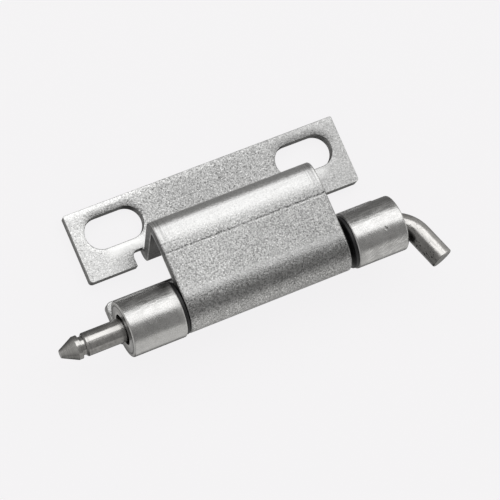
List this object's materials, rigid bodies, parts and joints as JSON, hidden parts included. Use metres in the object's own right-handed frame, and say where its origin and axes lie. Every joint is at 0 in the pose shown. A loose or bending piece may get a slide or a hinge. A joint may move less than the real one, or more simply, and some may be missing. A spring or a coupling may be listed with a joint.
{
  "type": "concealed hinge",
  "caption": "Concealed cabinet hinge: slotted gooseneck frame leaf, weld-on strip leaf with tube knuckles, nylon bushes and a bent draw-out pin.",
  "frame": {"origin": "centre of the slot line on the back face of the frame leaf's plate", "axes": "+X along the hinge pin towards its bent handle, +Y across the plate away from the pin, +Z out of the plate's back face"},
  "size_m": [0.0845, 0.0396, 0.0178],
  "materials": {
    "leaf_steel": "plated, fine mottled satin",
    "turned_steel": "turned, semi-gloss",
    "black_nylon": "moulded, semi-matt",
    "pin_steel": "drawn wire, semi-gloss"
  },
  "bodies": {
    "frame_leaf": {"frame_leaf": "leaf_steel"},
    "door_leaf": {"door_strip": "leaf_steel", "left_knuckle": "turned_steel", "right_knuckle": "turned_steel", "left_bush": "black_nylon", "right_bush": "black_nylon"},
    "hinge_pin": {"hinge_pin": "pin_steel"}
  },
  "joints": [
    {"name": "door_swing", "type": "hinge", "parent": "frame_leaf", "child": "door_leaf", "pos_m": [0, -0.0219, 0.0118], "axis": [1, 0, 0], "range_deg": [-180, 50]},
    {"name": "pin_draw", "type": "slide", "parent": "frame_leaf", "child": "hinge_pin", "axis": [1, 0, 0], "range_m": [0, 0.077]}
  ]
}
